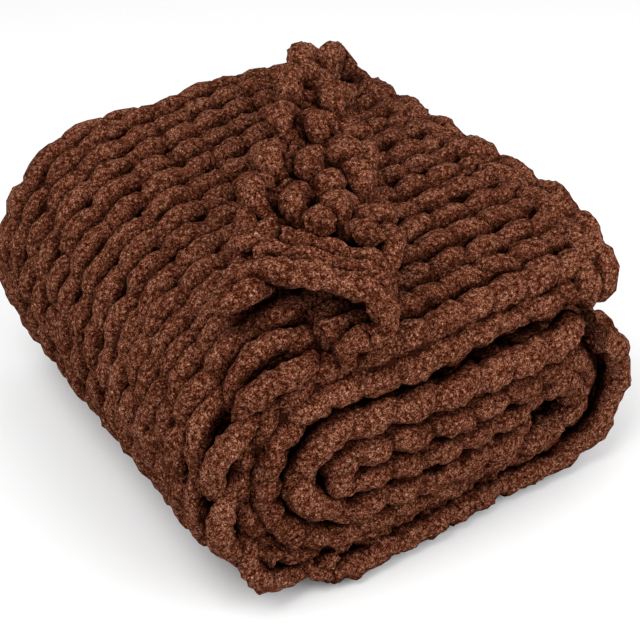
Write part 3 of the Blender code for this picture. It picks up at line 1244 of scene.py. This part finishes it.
@dataclasses.dataclass
class ShadeBackingSheet:
    """The thin sheet behind the loops, which follows every fold, coloured near-black as painted shade between
    the loops.
    """

    stack: FoldedStack
    thickness: float = 0.004
    inset: float = 0.022
    front_inset: float = 0.014
    depth: float = 0.012
    front_depth: float = 0.009
    front_run: float = 0.12
    end_gap: float = 0.01
    lowest: float = 0.001
    rings: int = 120
    columns: int = 130

    def build(self) -> bpy.types.Object:
        """Makes the sheet as a closed mesh that replaces the part's solid.

        Returns:
            The sheet, riding on the root body.
        """
        s = self.stack
        share = np.linspace(0.0, 1.0, self.rings)[:, None]
        column = np.linspace(0.0, 1.0, self.columns)[None, :]
        under = smooth((share * s.length - s.bottom_start) / self.front_run)
        front = self.front_inset * (1 - under) + self.inset
        wide = self.inset + (s.width - self.inset - front) * column
        start = s.setback(wide) + self.inset
        along = start + (s.length - self.end_gap - start) * share
        side = smooth((wide - s.back_fold_start + 0.02) / 0.04) * 2 - 1
        room = 0.3 + 0.7 * smooth(np.abs(wide - s.front_fold) / 0.05 - 0.3)
        on_corner = smooth(s.past_crease(along, wide) / 0.02 + 1)
        rise = -side * self.depth * room * (1 - on_corner)
        rise = rise - self.front_depth * smooth((wide - s.width + 0.10) / 0.05) * (1 - on_corner)
        outer = s.place(along, wide, rise + self.thickness / 2)
        inner = s.place(along, wide, rise - self.thickness / 2)
        count = self.rings * self.columns
        index = np.arange(count).reshape(self.rings, self.columns)
        a, b = index[:-1, :-1].ravel(), index[1:, :-1].ravel()
        c, d = index[1:, 1:].ravel(), index[:-1, 1:].ravel()
        top = np.stack([a, b, c, d], axis=1)
        bottom = np.stack([a, d, c, b], axis=1) + count
        rim = np.concatenate([index[0, :], index[1:, -1], index[-1, -2::-1], index[-2:0:-1, 0]])
        after = np.roll(rim, -1)
        wall = np.stack([rim, after, after + count, rim + count], axis=1)
        points = np.concatenate([outer.reshape(-1, 3), inner.reshape(-1, 3)])
        points[:, 2] = np.maximum(points[:, 2], self.lowest)
        mesh = bpy.data.meshes.new("shade_backing_sheet")
        faces = np.concatenate([top, bottom, wall]).tolist()
        mesh.from_pydata(points.tolist(), [], faces)
        # The sheet takes the near-black painted shade colour.
        mesh.materials.append(SHADE_BACKING.material())
        mesh.validate()
        for polygon in mesh.polygons:
            polygon.use_smooth = True
        piece = put_in_scene("shade_backing_sheet", mesh)
        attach(piece, "root")
        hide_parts("blanket")
        LOG.info("shade backing sheet: %d faces", len(mesh.polygons))
        return piece


@dataclasses.dataclass
class Studio:
    """The pale floor, the soft light and the camera."""

    camera_place: tuple[float, float, float] = (-0.4929, -0.8392, 0.777)
    camera_target: tuple[float, float, float] = (0.0111, 0.0018, 0.099)
    lens: float = 75.99
    floor_side: float = 6.0
    sky_strength: float = 1.0
    key_place: tuple[float, float, float] = (-1.0, -0.4, 2.0)
    key_side: float = 1.2
    fill_place: tuple[float, float, float] = (0.9, -1.7, 1.2)
    fill_side: float = 1.8
    light_power: float = 38.0
    aim: Vector = dataclasses.field(default_factory=lambda: Vector((0.0, 0.0, 0.12)))

    def floor(self) -> bpy.types.Object:
        """Makes a wide plain pale floor.

        Returns:
            The floor, which is no part of the blanket.
        """
        mesh = bpy.data.meshes.new("floor")
        side = self.floor_side
        corners = [(-side, -side, 0), (side, -side, 0), (side, side, 0), (-side, side, 0)]
        mesh.from_pydata(corners, [], [(0, 1, 2, 3)])
        mesh.materials.append(PALE_FLOOR.material())
        made = put_in_scene("floor", mesh)
        return made

    def softbox(self, name: str, place: Vector, size: float, power: float) -> bpy.types.Object:
        """Makes a square soft light that faces the blanket.

        Args:
            name: the light's name.
            place: where it stands.
            size: the length of its side.
            power: its power in watts.

        Returns:
            The light.
        """
        light = bpy.data.lights.new(name, "AREA")
        light.shape = "SQUARE"
        light.size = size
        light.energy = power
        made = put_in_scene(name, light)
        made.location = place
        made.rotation_euler = (self.aim - place).to_track_quat("-Z", "Y").to_euler()
        return made

    def build(self) -> None:
        """Sets the room, the light and the camera."""
        self.floor()
        world = bpy.data.worlds.new("studio")
        world.use_nodes = True
        sky = world.node_tree.nodes["Background"]
        sky.inputs["Color"].default_value = (1.0, 1.0, 1.0, 1.0)
        sky.inputs["Strength"].default_value = self.sky_strength
        bpy.context.scene.world = world
        self.softbox("key", Vector(self.key_place), self.key_side, self.light_power)
        self.softbox("fill", Vector(self.fill_place), self.fill_side, self.light_power)
        camera = bpy.data.cameras.new("photo camera")
        camera.lens = self.lens
        camera.sensor_width = 36.0
        made = put_in_scene("photo camera", camera)
        place, target = Vector(self.camera_place), Vector(self.camera_target)
        made.location = place
        made.rotation_euler = (target - place).to_track_quat("-Z", "Y").to_euler()
        bpy.context.scene.camera = made
        bpy.context.scene.view_settings.view_transform = "Standard"


def main() -> None:
    """Builds the blanket's pieces in order and reports each."""
    logging.basicConfig(level=logging.INFO, format="%(message)s")
    stack = FoldedStack()
    knitting = Knitting(stack, Gauge())
    sweep = YarnSweep(stack, ChenilleFinish().material())
    yarn = TopLayer(knitting).build(sweep)
    yarn += MiddleLayer(knitting).build(sweep)
    yarn.append(CastOff(knitting).build(sweep))
    yarn.append(sweep.sweep("inner_fold_knitting", InnerFold(knitting).strands()))
    backing_sheet = ShadeBackingSheet(stack).build()
    Studio().build()


if __name__ == "__main__":
    main()
